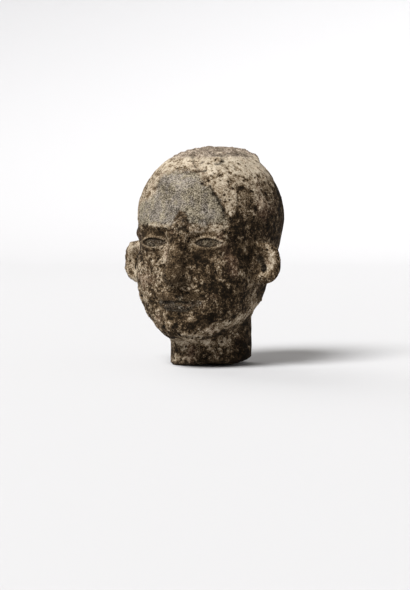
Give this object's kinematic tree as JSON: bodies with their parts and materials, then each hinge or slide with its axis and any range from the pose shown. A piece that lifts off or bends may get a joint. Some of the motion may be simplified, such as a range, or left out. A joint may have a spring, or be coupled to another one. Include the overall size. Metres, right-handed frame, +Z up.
{
  "type": "terracotta head",
  "caption": "Fired clay head of a close-shaven figure, broken off below the chin, standing on its neck; worn crown, cupped ears, earthy crust.",
  "frame": {"origin": "middle of the flat break under the neck, on the axis of the neck", "axes": "+Z up from the neck to the crown; the face looks along -Y; the figure's left ear is on +X"},
  "size_m": [0.0998, 0.1087, 0.13],
  "materials": {
    "terracotta": "matt fired clay, dark grey-brown and reddish-brown, with pale buff and grey earthy crust over the crown and forehead, pitted and speckled"
  },
  "bodies": {
    "root": {"terracotta_head": "terracotta"}
  },
  "joints": []
}
